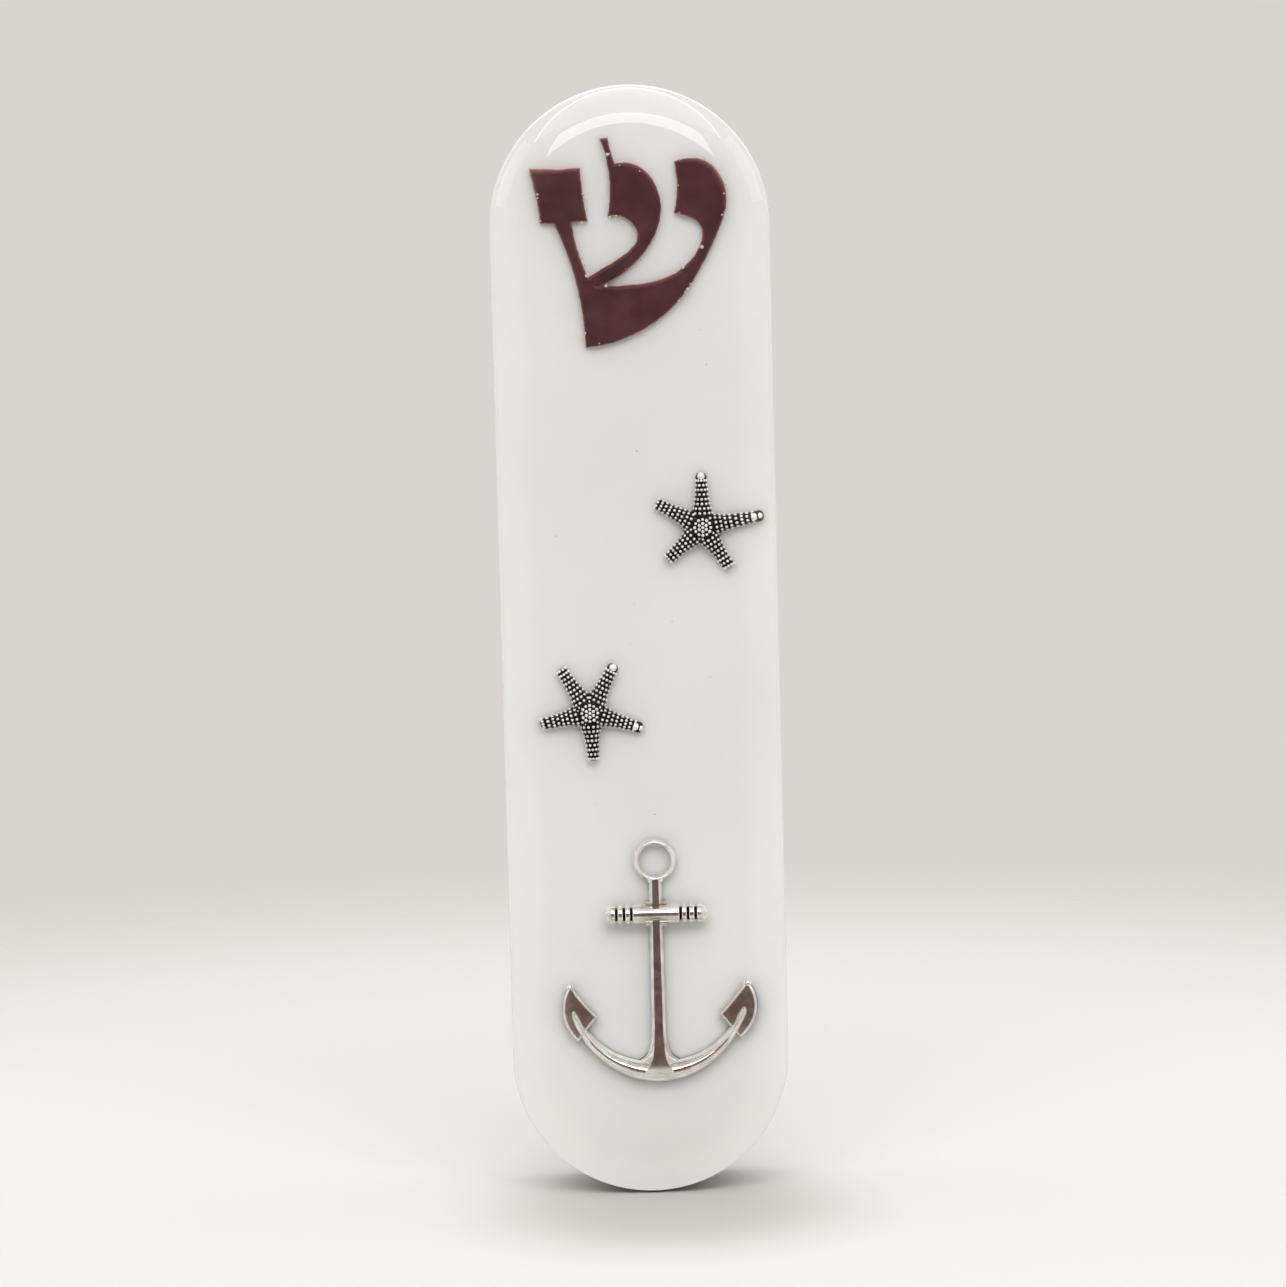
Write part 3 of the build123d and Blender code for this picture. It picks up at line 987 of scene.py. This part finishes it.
def paper_liner(name, body):
    """A thin paper with rounded corners."""
    bm = whole_copy(name)
    upright = [edge for edge in bm.edges if abs(edge.verts[0].co.y - edge.verts[1].co.y) > 0.1]
    bmesh.ops.bevel(
        bm, geom=upright, offset=LINER_CORNER, offset_type="OFFSET", affect="EDGES", segments=6,
        profile=0.5, material=-1, clamp_overlap=True,
    )
    bmesh.ops.recalc_face_normals(bm, faces=bm.faces)
    return finish_piece(
        bm, name + "_paper", release_paper, body=body, replaces=(name,)
    )


paper_liner("left_liner", "left_release")
paper_liner("right_liner", "right_release")

# %% [markdown]
# ## Rolled sheets
# The parchment and its film are both sheets wound round an upright axis. One line is
# extruded step by step, and each step turns it and moves it a little outward, so the
# sheet is a true spiral and its wound edge shows at the ends. Solidify gives it its
# thickness.

# %% Wind a sheet
TURN_STEPS = 36


def wound_sheet(axis, low, high, start_radius, end_radius, turns, thickness):
    """A sheet wound outward round an upright axis."""
    bm = bmesh.new()
    foot = bm.verts.new((start_radius, 0, low))
    head = bm.verts.new((start_radius, 0, high))
    line = bm.edges.new((foot, head))
    steps = round(turns * TURN_STEPS)
    turn = math.tau * turns / steps
    for step in range(1, steps + 1):
        grown = bmesh.ops.extrude_edge_only(bm, edges=[line])["geom"]
        moved = [item for item in grown if isinstance(item, bmesh.types.BMVert)]
        line = next(
            item for item in grown
            if isinstance(item, bmesh.types.BMEdge) and all(v in moved for v in item.verts)
        )
        bmesh.ops.rotate(bm, cent=(0, 0, 0), matrix=Matrix.Rotation(turn, 3, "Z"), verts=moved)
        outward = Vector((math.cos(turn * step), math.sin(turn * step), 0))
        bmesh.ops.translate(bm, vec=outward * (end_radius - start_radius) / steps, verts=moved)
    bmesh.ops.solidify(bm, geom=bm.faces[:], thickness=thickness)
    bmesh.ops.recalc_face_normals(bm, faces=bm.faces)
    bmesh.ops.translate(bm, vec=(axis.x, axis.y, 0), verts=bm.verts)
    return bm


# %% Parchment roll
def parchment_skin():
    material, tree, shader, place = new_material("parchment", 0.62)
    skin = ramp(
        tree, noise(tree, place, 45, 2.0), (0.30, (0.74, 0.655, 0.48)), (0.70, (0.80, 0.72, 0.55))
    )
    pores = ramp(tree, cells(tree, place, 2600), (0.0, (0.93, 0.91, 0.87)), (0.3, (1.0, 1.0, 1.0)))
    tree.links.new(multiply(tree, skin, pores), shader.inputs["Base Color"])
    shader.inputs["Sheen Weight"].default_value = 0.2
    bump(tree, shader, noise(tree, place, 1200, 4.0), 0.05)
    return material


SCROLL_TURNS = 4.6
PARCHMENT_THICKNESS = 0.28
HOLLOW_RADIUS = 1.8
scroll_low, scroll_high = node_box("scroll")
scroll_axis = (scroll_low + scroll_high) / 2
scroll_radius = (scroll_high.x - scroll_low.x) / 2
bm = wound_sheet(
    scroll_axis, scroll_low.z, scroll_high.z, HOLLOW_RADIUS, scroll_radius - PARCHMENT_THICKNESS,
    SCROLL_TURNS, PARCHMENT_THICKNESS,
)
finish_piece(
    bm, "parchment_roll", parchment_skin(), body="rolled_scroll", replaces=("scroll",)
)

# %% Film sleeve
FILM_TURNS = 1.15
FILM_THICKNESS = 0.06
wrap_low, wrap_high = node_box("scroll_wrapper")
wrap_radius = (wrap_high.x - wrap_low.x) / 2
clear_film, tree, shader, place = clear_glass("clear_film", (0.98, 0.99, 1.0), 0.06, 1.2)
bump(tree, shader, noise(tree, place, 220, 3.0), 0.05)
bm = wound_sheet(
    scroll_axis, wrap_low.z, wrap_high.z, scroll_radius + FILM_THICKNESS,
    wrap_radius - FILM_THICKNESS, FILM_TURNS, FILM_THICKNESS,
)
finish_piece(
    bm, "film_sleeve", clear_film, body="rolled_scroll", replaces=("scroll_wrapper",)
)

# %% [markdown]
# ## Floor
# The case stands on a pale tabletop. The floor is a disc that fades out, so it melts into
# the wall behind it without a hard horizon. In front of the case a painted shadow, a darker
# grey in the floor's colour, deepens the soft shadow there.

# %% Floor
FLOOR_REACH = 0.27
FLOOR_FADE = (0.08, 0.26)
# The floor's painted shadow in front of the case: full within the first distance, gone by the second.
FLOOR_PAINTED_SHADOW = (0.005, 0.027)
PAINTED_SHADOW_MIDDLE = (0.002, -0.022, 0)

floor_material, tree, shader, place = new_material("floor_paper", 0.9)
paper, painted_shadow_grey = (0.66, 0.655, 0.645), (0.455, 0.44, 0.415)
reach = tree.nodes.new("ShaderNodeVectorMath")
reach.operation = "LENGTH"
tree.links.new(place, reach.inputs[0])
fade = tree.nodes.new("ShaderNodeMapRange")
fade.interpolation_type = "SMOOTHERSTEP"
fade.inputs["From Min"].default_value, fade.inputs["From Max"].default_value = FLOOR_FADE
fade.inputs["To Min"].default_value = 1.0
fade.inputs["To Max"].default_value = 0.0
tree.links.new(reach.outputs["Value"], fade.inputs["Value"])
tree.links.new(fade.outputs["Result"], shader.inputs["Alpha"])
# Painted shadow: the floor's colour turns to a darker grey near a spot in front of the case.
from_painted_shadow = tree.nodes.new("ShaderNodeVectorMath")
from_painted_shadow.operation = "DISTANCE"
from_painted_shadow.inputs[1].default_value = PAINTED_SHADOW_MIDDLE
tree.links.new(place, from_painted_shadow.inputs[0])
painted_shadow = tree.nodes.new("ShaderNodeMapRange")
painted_shadow.interpolation_type = "SMOOTHSTEP"
painted_shadow.inputs["From Min"].default_value, painted_shadow.inputs["From Max"].default_value = FLOOR_PAINTED_SHADOW
tree.links.new(from_painted_shadow.outputs["Value"], painted_shadow.inputs["Value"])
painted_shadow_colour = ramp(tree, painted_shadow.outputs["Result"], (0.0, painted_shadow_grey), (1.0, paper))
tree.links.new(painted_shadow_colour, shader.inputs["Base Color"])

bm = bmesh.new()
bmesh.ops.create_circle(bm, cap_ends=True, segments=96, radius=FLOOR_REACH)
mesh = bpy.data.meshes.new("floor")
bm.to_mesh(mesh)
bm.free()
mesh.materials.append(floor_material)
floor = bpy.data.objects.new("floor", mesh)
floor.location = (0, 0, cad_low[2] - 0.1 * MM)
bpy.context.scene.collection.objects.link(floor)
floor.visible_glossy = False
floor.visible_transmission = False
print("floor at", round(floor.location.z, 4))

# %% [markdown]
# ## The room
# The camera sees a plain warm wall. Everything else, the resin and the silver above all,
# sees a soft bright room that falls dark on the viewer's side. That dark side is what the
# flat faces of the charms mirror.

# %% Room
WALL_COLOUR = (0.69, 0.665, 0.63, 1)
ROOM_COLOUR = (0.66, 0.645, 0.625)
DARK_SIDE_COLOUR = (0.12, 0.075, 0.065)
DARK_SIDE_STARTS, DARK_SIDE_FULL = 0.60, 0.96

world = bpy.data.worlds.new("studio")
bpy.context.scene.world = world
world.use_nodes = True
tree = world.node_tree
tree.nodes.clear()
output = tree.nodes.new("ShaderNodeOutputWorld")
around = tree.nodes.new("ShaderNodeTexCoord")
light_path = tree.nodes.new("ShaderNodeLightPath")
wall = tree.nodes.new("ShaderNodeBackground")
wall.inputs["Color"].default_value = WALL_COLOUR
room = tree.nodes.new("ShaderNodeBackground")
toward = tree.nodes.new("ShaderNodeVectorMath")
toward.operation = "DOT_PRODUCT"
toward.inputs[1].default_value = (0, -1, 0)
tree.links.new(around.outputs["Generated"], toward.inputs[0])
shade = ramp(
    tree, toward.outputs["Value"],
    (DARK_SIDE_STARTS, ROOM_COLOUR), (DARK_SIDE_FULL, DARK_SIDE_COLOUR),
)
tree.links.new(shade, room.inputs["Color"])
mix = tree.nodes.new("ShaderNodeMixShader")
tree.links.new(light_path.outputs["Is Camera Ray"], mix.inputs["Fac"])
tree.links.new(room.outputs["Background"], mix.inputs[1])
tree.links.new(wall.outputs["Background"], mix.inputs[2])
tree.links.new(mix.outputs["Shader"], output.inputs["Surface"])
print("room", ROOM_COLOUR)

# %% [markdown]
# ## Lamps
# A square softbox hangs overhead, turned by an eighth, and its two rear edges glow
# brighter than its middle: they draw the thin arc along the top of the rounded rim. A
# wide lamp high in front lights the face, and a panel at each side puts a crescent on
# each shoulder.

# %% Lamps
def soft_lamp(name, place, size, radiance, aim=(0, 0, 0.05)):
    """An even area light; radiance is how bright its face looks."""
    data = bpy.data.lights.new(name, "AREA")
    data.shape = "RECTANGLE"
    data.size, data.size_y = size
    data.energy = radiance * math.pi * size[0] * size[1]
    lamp = bpy.data.objects.new(name, data)
    lamp.location = place
    lamp.rotation_euler = (Vector(aim) - Vector(place)).to_track_quat("-Z", "Y").to_euler()
    lamp.visible_camera = False
    bpy.context.scene.collection.objects.link(lamp)
    print(name, "power", round(data.energy, 2))
    return lamp


BOX_HEIGHT, BOX_Y = 0.42, -0.01
BOX_SIDE = 0.58
EDGE_GLOW, EDGE_HANG = 0.035, 0.002
PANEL_OUT, PANEL_SIZE = 0.42, (0.36, 0.26)
overhead = soft_lamp("overhead", (0, BOX_Y, BOX_HEIGHT), (BOX_SIDE, BOX_SIDE), 0.9, aim=(0, BOX_Y, 0))
overhead.rotation_euler = (0, 0, math.radians(45))
edge_middle = BOX_SIDE / 2 * math.cos(math.radians(45))
for side in (-1, 1):
    hang_at = (side * edge_middle, edge_middle + BOX_Y, BOX_HEIGHT - EDGE_HANG)
    edge_lamp = soft_lamp("overhead_edge", hang_at, (BOX_SIDE, EDGE_GLOW), 3.2)
    edge_lamp.rotation_euler = (0, 0, math.radians(-side * 45))
soft_lamp("front_fill", (0.02, -0.52, 0.50), (0.90, 0.30), 4.0)
soft_lamp("left_panel", (-PANEL_OUT, 0.14, 0.24), PANEL_SIZE, 0.75, aim=(0, 0.14, 0.1))
soft_lamp("right_panel", (PANEL_OUT, 0.14, 0.24), PANEL_SIZE, 0.8, aim=(0, 0.14, 0.1))

# %% [markdown]
# ## Camera
# The camera looks slightly down at the case from half a metre, with a small roll,
# because the case stands a little askew in the frame. The lens follows from how large
# the case should be in the image.

# %% Camera
IMAGE_HEIGHT = 1287
DISTANCE = 0.50
ELEVATION = math.radians(6.0)
ROLL = math.radians(1.47)
IMAGE_PER_MM = 9.36
SENSOR = 36.0

camera_data = bpy.data.cameras.new("camera")
camera = bpy.data.objects.new("camera", camera_data)
bpy.context.scene.collection.objects.link(camera)
bpy.context.scene.camera = camera
aim = Vector((0.3 * MM, front_y * MM, 0.58 * MM))
camera_data.sensor_width = SENSOR
camera_data.lens = SENSOR * IMAGE_PER_MM * (DISTANCE / MM) / IMAGE_HEIGHT
back = Vector((0, -math.cos(ELEVATION), math.sin(ELEVATION)))
camera.location = aim + DISTANCE * back
look = (-back).to_track_quat("-Z", "Y")
camera.rotation_euler = (look @ Matrix.Rotation(-ROLL, 3, "Z").to_quaternion()).to_euler()
bpy.context.scene.view_settings.view_transform = "Standard"
print("lens", round(camera_data.lens, 1))

# %% [markdown]
# ## Sizes
# The CAD model's box is printed.

# %% Sizes and end
print("cad", list(cad_low), list(cad_high))
